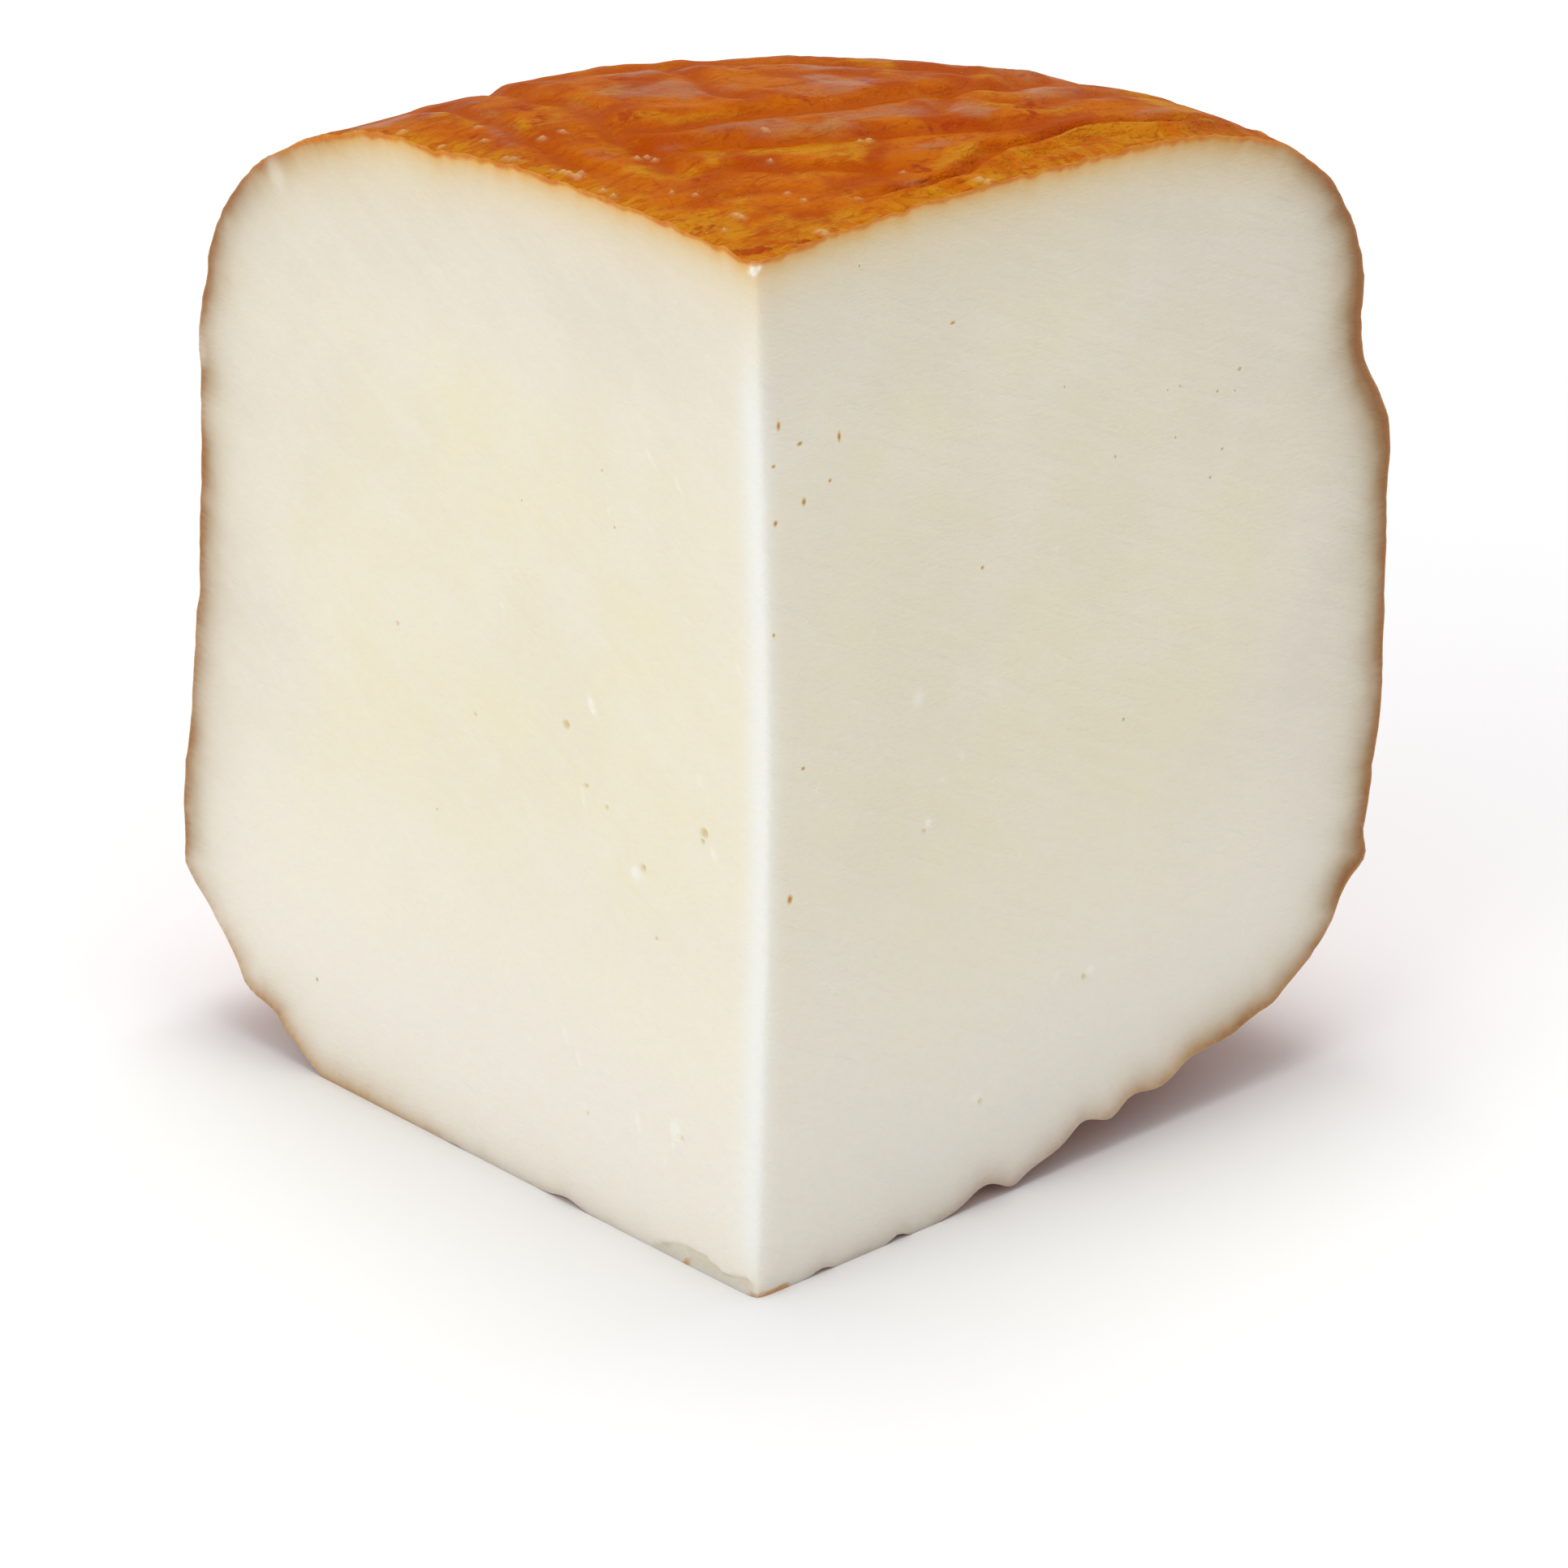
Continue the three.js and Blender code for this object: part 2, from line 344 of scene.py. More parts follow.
def rind_shape(turn, run):
    """Radius and height of each point of the rind, and its shading masks."""
    radius, height = np.interp(run, RUN, RADIUS), np.interp(run, RUN, HEIGHT)
    angle = np.radians(turn)
    points = np.stack([radius * np.sin(angle), radius * np.cos(angle), height], 1)
    flat = np.stack([run * np.sin(angle), run * np.cos(angle)], 1)
    wander = np.stack([lumps(points, 7, 31, octaves=2), lumps(points, 7, 32, octaves=2)], 1)
    flat_wander = flat + 0.8 * wander
    folds, fold_mask = cloth_folds(turn, run, flat_wander, points)
    crumb = crumbs(flat) * (run < 50)
    off_foot = 1 - smooth(FOOT_RUN - 12, FOOT_RUN, run)
    from_cut = (HALF_CUT - np.abs(turn)) * np.pi / 180 * radius
    inland = 0.3 + 0.7 * smooth(0, 9, from_cut)
    rolling = 0.3 - 0.12 * smooth(60, 40, run)
    move = off_foot * inland * (rolling * lumps(points, 26, 1) + 0.11 * lumps(points, 8, 2))
    move += off_foot * 0.07 * lumps(points, 2.6, 3, octaves=2)
    move += folds * smooth(-2, 4, from_cut)
    teeth = smooth(3.0, 0, from_cut) * off_foot * (0.08 + 0.12 * smooth(60, 45, run))
    move += teeth * lumps(points, 1.5, 4, octaves=2)
    move += 0.35 * crumb
    move *= 0.35 + 0.65 * smooth(0, 3, run)
    move += hills(SWELLINGS, turn, run) + hills(EDGE_BITES, turn, run)
    out, up = facing(run)
    radius = radius + move * out * smooth(0, 8, run)
    height = np.maximum(height + move * up, 0)
    masks = {"run": run, "fold": fold_mask, "crumb": crumb, "sheen_patch": patches(SHEEN_PATCHES, flat_wander),
             "amber": patches(AMBER_PATCHES, flat_wander),
             "rust": patches(RUST_SMEARS, flat_wander)}
    return radius, height, masks


def set_back(x, y):
    """Rounds the front edge: moves places near the wheel's axis back, into the cheese."""
    inside = np.maximum(y - np.abs(x), 0)
    return (np.hypot(x, NOSE_SOFTNESS) - np.abs(x)) * np.exp(-inside / 2.5)


def place_rind(turn, radius, height):
    angle = np.radians(turn)
    x, y = radius * np.sin(angle), radius * np.cos(angle)
    return np.stack([x, y + set_back(x, y) + AXIS_Y, height], 1)


# ---------------------------------------------------------------- the paste of the cut faces
# Pits where gas or whey sat in the paste: across, height, radius, depth
PITS = [
    (-23.5, 44.0, 0.5, 0.3), (-21.0, 39.4, 0.3, 0.2), (-18.5, 38.3, 0.28, 0.15),
    (-7.2, 40.2, 0.6, 0.3), (-7.3, 39.4, 0.25, 0.35), (-14.2, 34.4, 0.42, 0.3),
    (-9.2, 11.5, 0.3, 0.2), (-20.6, 9.4, 0.25, 0.12), (-34.4, 40.9, 0.25, 0.1),
    (-12.5, 28.6, 0.25, 0.12), (-43.8, 45.8, 0.3, 0.1), (18.1, 37.0, 0.25, 0.15),
    (40.6, 39.5, 0.25, 0.12), (24.8, 9.7, 0.35, 0.15), (36.4, 17.2, 0.35, 0.2),
]

# Curd that the knife dragged proud of the paste: across, height, half width, half length, how far
# its top leans to the left in degrees, rise
CURD = [
    (-20.3, 46.9, 0.42, 0.85, 25, 0.14), (-6.0, 38.7, 0.35, 0.6, 30, 0.08),
    (-14.9, 33.7, 0.55, 0.6, 0, 0.16), (-21.3, 38.3, 0.28, 0.9, 10, 0.06),
    (-9.9, 11.8, 0.6, 0.85, 10, 0.24), (-10.1, 10.5, 0.3, 0.4, 0, 0.12),
    (-14.4, 10.9, 0.3, 1.1, 12, 0.08), (-23.3, 15.6, 0.28, 0.9, 25, 0.06),
    (-21.6, 13.9, 0.28, 0.9, 25, 0.06), (-20.9, 9.9, 0.28, 0.7, 20, 0.05),
    (-18.0, 14.2, 0.22, 0.3, 0, 0.04), (-27.7, 13.5, 0.5, 0.4, 0, 0.04),
    (-18.0, 65.5, 0.17, 0.17, 0, 0.08), (-9.6, 70.7, 0.25, 0.8, 40, 0.05),
    (-13.0, 72.2, 0.25, 0.7, 40, 0.05), (-3.1, 56.6, 0.22, 0.6, 30, 0.05),
    (-7.6, 44.8, 0.15, 0.15, 0, 0.07), (-11.1, 8.7, 0.2, 0.4, 10, 0.06),
    (-31.0, 52.0, 0.2, 0.4, 40, 0.05), (-40.5, 71.0, 0.16, 0.2, 20, 0.05),
    (-47.0, 24.0, 0.2, 0.3, 20, 0.05), (-52.0, 44.0, 0.15, 0.15, 0, 0.05),
    (17.4, 49.2, 0.75, 0.8, 0, 0.08), (22.4, 42.3, 0.4, 0.5, 0, 0.05),
    (20.2, 41.0, 0.17, 0.17, 0, 0.13), (18.5, 37.6, 0.35, 0.4, 0, 0.16),
    (5.8, 44.9, 0.17, 0.17, 0, 0.08), (3.2, 19.4, 0.17, 0.17, 0, 0.08),
    (24.3, 10.2, 0.6, 0.5, 0, 0.10), (37.1, 17.6, 0.55, 0.4, 0, 0.12),
    (33.2, 18.2, 0.3, 0.8, -35, 0.05), (12.5, 57.0, 0.2, 0.3, -30, 0.05),
    (33.0, 57.5, 0.16, 0.16, 0, 0.05), (29.0, 31.0, 0.2, 0.4, -30, 0.05),
    (-58.3, 81.7, 1.0, 1.5, 25, 0.045), (-68.0, 62.0, 0.8, 1.6, 0, 0.045),
    (-0.3, 93.1, 0.40, 0.35, 0, 0.30), (0.3, 93.4, 0.25, 0.20, 0, 0.20),
]

# Specks in the paste: across, height, half length up and down, half width
AMBER_SPECKS = [
    (2.1, 78.8, 0.36, 0.17), (8.8, 75.7, 0.42, 0.15), (4.7, 71.2, 0.30, 0.20),
    (1.4, 70.3, 0.22, 0.20), (1.4, 75.4, 0.12, 0.20), (7.7, 72.1, 0.14, 0.16),
    (4.4, 76.5, 0.16, 0.28), (24.7, 58.6, 0.14, 0.14), (4.2, 47.3, 0.14, 0.18),
    (2.7, 35.9, 0.35, 0.25), (21.4, 81.8, 0.12, 0.26), (0.9, 60.4, 0.14, 0.14),
]
GREY_SPECKS = [
    (11.2, 90.2, 0.22, 0.18), (40.6, 39.5, 0.20, 0.16), (39.5, 63.8, 0.20, 0.16),
    (53.6, 67.1, 0.22, 0.30), (46.8, 67.8, 0.14, 0.18), (45.4, 67.9, 0.12, 0.14),
    (51.1, 65.9, 0.18, 0.20), (53.1, 65.3, 0.16, 0.14), (51.6, 60.5, 0.16, 0.20),
    (50.2, 58.4, 0.18, 0.20), (46.3, 63.3, 0.18, 0.14), (33.8, 72.0, 0.14, 0.14),
    (-18.8, 68.8, 0.16, 0.14), (-17.3, 64.2, 0.16, 0.14), (-54.1, 9.0, 0.22, 0.18),
    (-28.6, 62.5, 0.12, 0.12), (-39.0, 30.5, 0.14, 0.12),
]

# How strongly the rind has stained the paste, with painted shade along the edges that is stronger
# on the shaded right face, along the rind: run, strength
LEFT_STAIN_AND_SHADE = [(44, 0), (52, 0.5), (62, 0.95), (79, 1.1), (83, 0.6), (87, 1.1), (90, 0.7),
              (93, 1.1), (118, 0.9), (130, 1.0), (138, 0.4), (146, 0.7), (152, 0.5), (162, 0.5),
              (172, 0.35), (190, 0.3), (200, 0.2)]
RIGHT_STAIN_AND_SHADE = [(44, 0.1), (54, 0.6), (62, 1.05), (74, 1.8), (90, 1.7), (100, 1.25), (112, 1.15),
               (125, 1.2), (131, 1.7), (137, 0.9), (146, 1.0), (154, 1.1), (160, 0.6),
               (168, 0.6), (186, 0.5), (200, 0.3)]

# A flake broken off the left face's bottom edge, beside the front edge
CHIP_LENGTH, CHIP_HEIGHT, CHIP_DEPTH = 15.0, 1.4, 0.6


def specks(list_of_specks, across, height):
    """1 in the middle of each speck, 0 elsewhere."""
    found = np.zeros(len(across))
    for at, up, tall, wide in list_of_specks:
        found = np.maximum(found, bump(np.hypot((across - at) / wide, (height - up) / tall)))
    return found


def dragged_curd(across, height):
    """Rise of the dragged curd at each place."""
    found = np.zeros(len(across))
    for at, up, half_width, half_length, lean, rise in CURD:
        a = math.radians(lean)
        aside = ((across - at) * math.cos(a) + (height - up) * math.sin(a)) / half_width
        ahead = ((height - up) * math.cos(a) - (across - at) * math.sin(a)) / half_length
        found = np.maximum(found, rise * np.exp(-(aside ** 2 + ahead ** 2) ** 1.5))
    return found


def pit_depth(across, height):
    """How deep in a pit each place is, as a share of that pit's depth."""
    found = np.zeros(len(across))
    for at, up, size, _ in PITS:
        found = np.maximum(found, smooth(1.0, 0.3, np.hypot(across - at, height - up) / size))
    return found


def in_chip(across, height):
    """How much each place lies where a flake has broken off, low and left of the front edge."""
    flat = np.stack([across, height, np.zeros(len(across))], 1)
    ledge = CHIP_HEIGHT * smooth(-CHIP_LENGTH, -CHIP_LENGTH * 0.6, across)
    ledge += 0.45 * lumps(flat, 4, 45) + 0.2 * lumps(flat, 1.2, 46)
    ends = smooth(0.5, -1.5, across) * smooth(-CHIP_LENGTH - 1, -CHIP_LENGTH + 3, across)
    return smooth(0, 0.3, ledge - height) * ends


def nose_shift(across, height):
    """How far the front edge's bow moves each place to the right."""
    bow = NOSE_BOW * np.sin(np.pi * np.clip(height / WHEEL_HEIGHT, 0, 1)) ** 1.5
    return bow * np.exp(-np.abs(across) / 16)


def paste_relief(across, height, from_rind):
    """How far each place on the cut faces stands proud."""
    flat = np.stack([across, height, np.zeros(len(across))], 1)
    relief = 0.16 * lumps(flat, 30, 41) + 0.05 * lumps(flat, 9, 42)
    slant = math.radians(-28)
    drag = np.stack([across * math.cos(slant) + height * math.sin(slant),
                     height * math.cos(slant) - across * math.sin(slant),
                     np.sign(across) * 50], 1)
    relief += 0.022 * lumps(drag * np.array([0.1, 1, 1]), 1.6, 43)
    relief += 0.012 * lumps(flat, 0.9, 44)
    for at, up, size, depth in PITS:
        relief -= depth * smooth(1.0, 0.25, np.hypot(across - at, height - up) / size)
    relief += dragged_curd(across, height)
    relief -= CHIP_DEPTH * in_chip(across, height)
    return relief * smooth(0, 0.9, from_rind)


def place_paste(across, height, relief):
    """Turns the unrolled cut faces into the two upright faces and the soft edge between them."""
    x = across / math.sqrt(2) + nose_shift(across, height)
    y = np.hypot(across / math.sqrt(2), NOSE_SOFTNESS)
    slope = (across / math.sqrt(2)) / y
    length = np.hypot(slope, 1)
    return np.stack([x + relief * slope / length, y - relief / length + AXIS_Y, height], 1)


# ---------------------------------------------------------------- building the mesh
def cap_rows():
    """The crown's middle: turn and run of a square grid bent into a quarter disc."""
    u, v = np.meshgrid(np.linspace(0, 1, CAP_STEPS + 1), np.linspace(0, 1, CAP_STEPS + 1),
                       indexing="ij")
    right, left = u * np.sqrt(1 - v * v / 2), v * np.sqrt(1 - u * u / 2)
    run = CAP_RUN * np.hypot(right, left)
    turn = HALF_CUT - np.degrees(np.arctan2(left, right))
    turn[0, 0] = 0
    return turn, run


def quads(grid):
    """Faces of a grid of vertex numbers."""
    a, b, c, d = grid[:-1, :-1], grid[1:, :-1], grid[1:, 1:], grid[:-1, 1:]
    return np.stack([a, b, c, d], -1).reshape(-1, 4).tolist()


def rind_grid():
    """Turn, run and faces of the rind, and the numbers of the vertices along its edges."""
    cap_turn, cap_run = cap_rows()
    n = CAP_STEPS + 1
    cap = np.arange(n * n).reshape(n, n)
    faces = quads(cap)
    ring = np.concatenate([cap[-1, :], cap[-2::-1, -1]])
    ring_turn = np.concatenate([cap_turn[-1, :], cap_turn[-2::-1, -1]])
    top_runs = np.arange(CAP_RUN + TOP_STEP, SIDE_RUN, TOP_STEP)
    side_runs = np.linspace(SIDE_RUN, FOOT_RUN, round((FOOT_RUN - SIDE_RUN) / SIDE_STEP))
    runs = np.concatenate([top_runs, side_runs])
    rows = n * n + np.arange(len(runs) * len(ring)).reshape(len(runs), len(ring))
    grid = np.vstack([ring[None], rows])
    faces += quads(grid)
    turn = np.concatenate([cap_turn.ravel(), np.tile(ring_turn, len(runs))])
    run = np.concatenate([cap_run.ravel(), np.repeat(runs, len(ring))])
    right_edge = np.concatenate([cap[:, 0], rows[:, 0]])
    left_edge = np.concatenate([cap[0, :], rows[:, -1]])
    return turn, run, faces, right_edge, left_edge, grid[-1]


def lattice(left, right, bottom, top, step):
    """Points of a triangular lattice over a rectangle."""
    rows = np.arange(bottom, top, step * math.sqrt(3) / 2)
    columns = np.arange(left, right, step)
    x = columns[None, :] + step / 2 * (np.arange(len(rows))[:, None] % 2)
    y = np.repeat(rows[:, None], len(columns), 1)
    return np.stack([x.ravel(), y.ravel()], 1)


def gap_to(places, edge, group=2000):
    """Distance from each place to the nearest of the edge's points, and which point it is."""
    gaps, nearest = [], []
    for start in range(0, len(places), group):
        part = places[start:start + group]
        square = ((part[:, None, :] - edge[None]) ** 2).sum(-1)
        nearest.append(square.argmin(1))
        gaps.append(np.sqrt(square.min(1)))
    return np.concatenate(gaps), np.concatenate(nearest)


def inside(places, loop):
    """True for each place inside a closed loop of points."""
    found = np.zeros(len(places), bool)
    x, y = places[:, 0], places[:, 1]
    for (x1, y1), (x2, y2) in zip(loop, np.roll(loop, -1, 0)):
        if y1 == y2:
            continue
        crosses = (y1 > y) != (y2 > y)
        found ^= crosses & (x < (x2 - x1) * (y - y1) / (y2 - y1) + x1)
    return found


def fill(loop, points):
    """Triangles that fill a loop of points and use the points inside it. The loop comes first."""
    count = len(loop)
    places = [Vector(p) for p in np.vstack([loop, points])]
    edges = [(i, (i + 1) % count) for i in range(count)]
    out, _, faces, origin, _, _ = delaunay_2d_cdt(places, edges, [], 1, 1e-7)
    if len(out) != len(places):
        raise ValueError("filling an outline lost or gained a point")
    number = [o[0] for o in origin]
    return [[number[i] for i in face] for face in faces]


def paste_points(loop):
    """Points over the unrolled cut faces: close together where there is detail."""
    left, right = loop[:, 0].min(), loop[:, 0].max()
    top = loop[:, 1].max()
    plain = lattice(left, right, 0, top, PASTE_STEP)
    fine = lattice(left, right, 0, top, EDGE_STEP)
    plain_gap, _ = gap_to(plain, loop)
    fine_gap, _ = gap_to(fine, loop)
    far_from_nose = np.abs(plain[:, 0]) >= EDGE_BAND
    by_nose = np.abs(fine[:, 0]) < EDGE_BAND - BAND_GAP
    plain = plain[(plain_gap > EDGE_BAND + BAND_GAP) & far_from_nose]
    fine = fine[(fine_gap > RIM_GAP) & ((fine_gap < EDGE_BAND) | by_nose)]
    chosen = np.vstack([plain, fine])
    small_marks = [(at, up, size * 1.5) for at, up, size, _ in PITS]
    small_marks += [(at, up, 1.3 * max(wide, tall)) for at, up, wide, tall, _, _ in CURD]
    small_marks += [(at, up, 0.2 + 1.5 * max(tall, wide))
                    for at, up, tall, wide in AMBER_SPECKS + GREY_SPECKS]
    for at, up, reach in small_marks:
        near = lattice(at - reach, at + reach, up - reach, up + reach, PIT_STEP)
        near = near[np.hypot(near[:, 0] - at, near[:, 1] - up) < reach]
        far = np.hypot(chosen[:, 0] - at, chosen[:, 1] - up) > reach + PIT_STEP
        chosen = np.vstack([chosen[far], near])
    return chosen[inside(chosen, loop)]


def foot_points(rim):
    """Points inside the foot's rim, their height, and their shading masks."""
    ground = lattice(low[0], high[0], low[1], high[1], FOOT_STEP)
    ground = ground[inside(ground, rim)]
    ground = ground[gap_to(ground, rim)[0] > FOOT_GAP]
    x, y = ground[:, 0], ground[:, 1] - AXIS_Y
    run = np.interp(-np.hypot(x, y), -RADIUS[RUN >= FOOT_RUN], RUN[RUN >= FOOT_RUN])
    _, height, masks = rind_shape(np.degrees(np.arctan2(x, y)), run)
    return np.column_stack([ground, height]), masks


def paste_masks(across, height, from_rind, run):
    """Shading masks of points on the cut faces. Their run is that of the nearest rind."""
    return {"run": run, "across": across, "under_rind": from_rind,
            "amber_speck": specks(AMBER_SPECKS, across, height),
            "grey_speck": specks(GREY_SPECKS, across, height),
            "curd": np.minimum(9 * dragged_curd(across, height), 1),
            "pit": pit_depth(across, height),
            "chip": in_chip(across, height)}


def place_masks(places, run):
    """Shading masks that any point of the cheese has."""
    x, y, height = places.T
    left, right = (np.interp(run, *zip(*table)) for table in (LEFT_STAIN_AND_SHADE, RIGHT_STAIN_AND_SHADE))
    # a painted highlight along the rounded front edge
    from_line = x - nose_shift(np.zeros(len(x)), height) + 0.5
    edge_highlight = bump(from_line / 1.2) * smooth(0, 6, height)
    edge_highlight *= smooth(WHEEL_HEIGHT - 3, WHEEL_HEIGHT - 16, height)
    # two tan smears where the front edge meets the board
    tip = bump(np.hypot((x - 1.2) / 1.6, height / 0.6))
    spot = 0.8 * bump(np.hypot((x + 6) / 0.9, height / 0.5))
    # the rind's stain in the paste, together with painted shade that is stronger on the right face
    return {"from_cut": (y - AXIS_Y - np.abs(x)) / math.sqrt(2),
            "stain_and_shade": np.where(x < 0, left, right), "edge_highlight": edge_highlight,
            "tip": np.maximum(tip, spot) * bump((y - low[1]) / 9)}


def joined(parts):
    """Joins the masks of several sets of points, with 0 where a set lacks one."""
    names = dict.fromkeys(name for part in parts for name in part)
    return {name: np.concatenate([part.get(name, np.zeros(len(part["run"]))) for part in parts])
            for name in names}


def build_mesh():
    """Vertices, faces, each face's material, the shading masks, and the cut faces' rim."""
    turn, run, faces, right_edge, left_edge, foot_arc = rind_grid()
    radius, height, on_rind = rind_shape(turn, run)
    places = place_rind(turn, radius, height)
    slots = [0] * len(faces)

    # the two bottom edges, from the foot's rim in to the front edge
    foot_steps = round((WHEEL_RADIUS - HEEL_INSET) / FOOT_EDGE_STEP)
    share = np.linspace(0, 1, foot_steps + 1)[1:]
    bottom_run = FOOT_RUN + share * (RUN[-1] - FOOT_RUN)
    first_right = len(places)
    first_left = first_right + foot_steps
    edge_turn = np.repeat([HALF_CUT, -HALF_CUT], foot_steps)
    edge_run = np.tile(bottom_run, 2)
    _, edge_height, on_edge = rind_shape(edge_turn, edge_run)
    edge_radius = np.interp(edge_run, RUN, RADIUS)
    edge_height[foot_steps - 1] = edge_height[-1] = 0
    keep = np.arange(2 * foot_steps - 1)  # both edges end in the same point
    places = np.vstack([places, place_rind(edge_turn, edge_radius, edge_height)[keep]])
    radius = np.concatenate([radius, edge_radius[keep]])
    height = np.concatenate([height, edge_height[keep]])
    run = np.concatenate([run, edge_run[keep]])
    tip = first_right + foot_steps - 1
    right_bottom = np.arange(first_right, tip + 1)
    left_bottom = np.concatenate([np.arange(first_left, first_left + foot_steps - 1), [tip]])

    # the cut faces, unrolled into one sheet
    right_side = np.concatenate([right_edge, right_bottom])
    left_side = np.concatenate([left_edge[1:], left_bottom[:-1]])
    rim = np.concatenate([right_side, left_side[::-1]])
    sign = np.concatenate([np.ones(len(right_side)), -np.ones(len(left_side))])
    loop = np.stack([sign * radius[rim], height[rim]], 1)
    inner = paste_points(loop)
    from_rind, nearest = gap_to(inner, loop)
    relief = paste_relief(inner[:, 0], inner[:, 1], from_rind)
    numbers = np.concatenate([rim, len(places) + np.arange(len(inner))])
    places = np.vstack([places, place_paste(inner[:, 0], inner[:, 1], relief)])
    paste_faces = [[int(numbers[i]) for i in face] for face in fill(loop, inner)]
    faces += paste_faces
    slots += [1] * len(paste_faces)

    # the foot, filled in plan
    foot_rim = np.concatenate([foot_arc, left_bottom, right_bottom[-2::-1]])
    foot_loop = places[foot_rim][:, :2]
    ground, on_ground = foot_points(foot_loop)
    numbers = np.concatenate([foot_rim, len(places) + np.arange(len(ground))])
    places = np.vstack([places, ground])
    foot_faces = [[int(numbers[i]) for i in face[::-1]] for face in fill(foot_loop, ground[:, :2])]
    faces += foot_faces
    slots += [0] * len(foot_faces)

    on_edge = {name: values[keep] for name, values in on_edge.items()}
    on_paste = paste_masks(inner[:, 0], inner[:, 1], from_rind, run[rim][nearest])
    masks = joined([on_rind, on_edge, on_paste, on_ground])
    masks["across"][rim] = loop[:, 0]
    masks.update(place_masks(places, masks["run"]))
    return places, faces, slots, masks, rim


def make_cheese(rind, paste):
    places, faces, slots, masks, rim = build_mesh()
    mesh = bpy.data.meshes.new("cheese")
    mesh.from_pydata((places * MM).tolist(), [], faces)
    mesh.polygons.foreach_set("material_index", slots)
    for name, values in masks.items():
        attribute = mesh.attributes.new(name, "FLOAT", "POINT")
        attribute.data.foreach_set("value", values.astype(np.float32))
    mesh.update()
    mesh.shade_smooth()
    ends = np.empty(2 * len(mesh.edges), np.int32)
    mesh.edges.foreach_get("vertices", ends)
    knife_line = np.isin(ends.reshape(-1, 2), rim).all(1)
    sharp = mesh.attributes.new("sharp_edge", "BOOLEAN", "EDGE")
    sharp.data.foreach_set("value", knife_line)
    mesh.materials.append(rind)
    mesh.materials.append(paste)
    cheese = bpy.data.objects.new("cheese", mesh)
    bpy.context.scene.collection.objects.link(cheese)
    return cheese


# ---------------------------------------------------------------- shader helpers
def feed(tree, socket, value):
    """Gives an input a value, or joins another node's output to it."""
    if isinstance(value, bpy.types.NodeSocket):
        tree.links.new(value, socket)
    else:
        socket.default_value = value


def node(tree, kind, inputs=None, **settings):
    """Adds a node. Each input is a value, or another node's output to join to."""
    made = tree.nodes.new("ShaderNode" + kind)
    for name, value in settings.items():
        setattr(made, name, value)
    for key, value in (inputs or {}).items():
        feed(tree, made.inputs[key], value)
    return made


def math_node(tree, operation, *values):
    return node(tree, "Math", dict(enumerate(values)), operation=operation).outputs[0]


def chained(tree, operation, values):
    return functools.reduce(lambda a, b: math_node(tree, operation, a, b), values)


def times(tree, *values):
    return chained(tree, "MULTIPLY", values)


def plus(tree, *values):
    return chained(tree, "ADD", values)


def larger(tree, *values):
    return chained(tree, "MAXIMUM", values)


def without(tree, value):
    """1 where the value is 0, and 0 where it is 1."""
    return math_node(tree, "SUBTRACT", 1, value)


def mix(tree, share, first, second):
    """Colour that goes from the first to the second as the share goes from 0 to 1."""
    made = node(tree, "Mix", {"Factor": share}, data_type="RGBA")
    for name, value in (("A_Color", first), ("B_Color", second)):
        socket = next(s for s in made.inputs if s.identifier == name)
        feed(tree, socket, (*value, 1) if isinstance(value, tuple) else value)
    return next(s for s in made.outputs if s.identifier == "Result_Color")


def laid_on(tree, colour, *layers):
    """Lays colours over the first, in order. A layer is how much of it shows, and its colour."""
    for share, layer_colour in layers:
        colour = mix(tree, share, colour, layer_colour)
    return colour


def ramp(tree, value, start, end, from_value=0.0, to_value=1.0):
    """Smooth change from one value to another as the input goes from start to end."""
    return node(tree, "MapRange", {"Value": value, "From Min": start, "From Max": end,
                                   "To Min": from_value, "To Max": to_value},
                interpolation_type="SMOOTHSTEP").outputs[0]


def mask(tree, name):
    return node(tree, "Attribute", attribute_name=name).outputs["Fac"]


def group(name, inputs, output):
    """Starts a node group with one output. Inputs are given by name with a usual value."""
    tree = bpy.data.node_groups.new(name, "ShaderNodeTree")
    for label, value in inputs.items():
        socket = tree.interface.new_socket(label, in_out="INPUT", socket_type="NodeSocketFloat")
        socket.default_value = value
    tree.interface.new_socket(output, in_out="OUTPUT", socket_type="NodeSocketFloat")
    given, out = tree.nodes.new("NodeGroupInput"), tree.nodes.new("NodeGroupOutput")
    return tree, given.outputs, out.inputs[0]


def place_group(tree, of_group, **inputs):
    """Places a node group, and gives its one output."""
    return node(tree, "Group", inputs, node_tree=of_group).outputs[0]


def millimetres(tree):
    """Place on the object, in millimetres."""
    place = node(tree, "TexCoord").outputs["Object"]
    return node(tree, "VectorMath", {0: place, "Scale": 1 / MM}, operation="SCALE").outputs[0]


# ---------------------------------------------------------------- shared effects
def make_mottle():
    """Soft blotches: 0 between them, 1 in their middles."""
    tree, given, out = group("Mottle", {"Size": 8, "Seed": 0, "Detail": 2, "Low": 0.4, "High": 0.6},
                             "Mask")
    scale = math_node(tree, "DIVIDE", 1, given["Size"])
    cloudy = node(tree, "TexNoise", {"Vector": millimetres(tree), "W": given["Seed"],
                                     "Scale": scale, "Detail": given["Detail"]},
                  noise_dimensions="4D")
    tree.links.new(ramp(tree, cloudy.outputs["Fac"], given["Low"], given["High"]), out)
    return tree


def make_grain():
    """Fine grain, as a height between 0 and 1."""
    tree, given, out = group("Fine grain", {"Size": 0.8, "Roughness": 0.6}, "Height")
    scale = math_node(tree, "DIVIDE", 1, given["Size"])
    found = node(tree, "TexNoise", {"Vector": millimetres(tree), "Scale": scale, "Detail": 4,
                                    "Roughness": given["Roughness"]})
    tree.links.new(found.outputs["Fac"], out)
    return tree


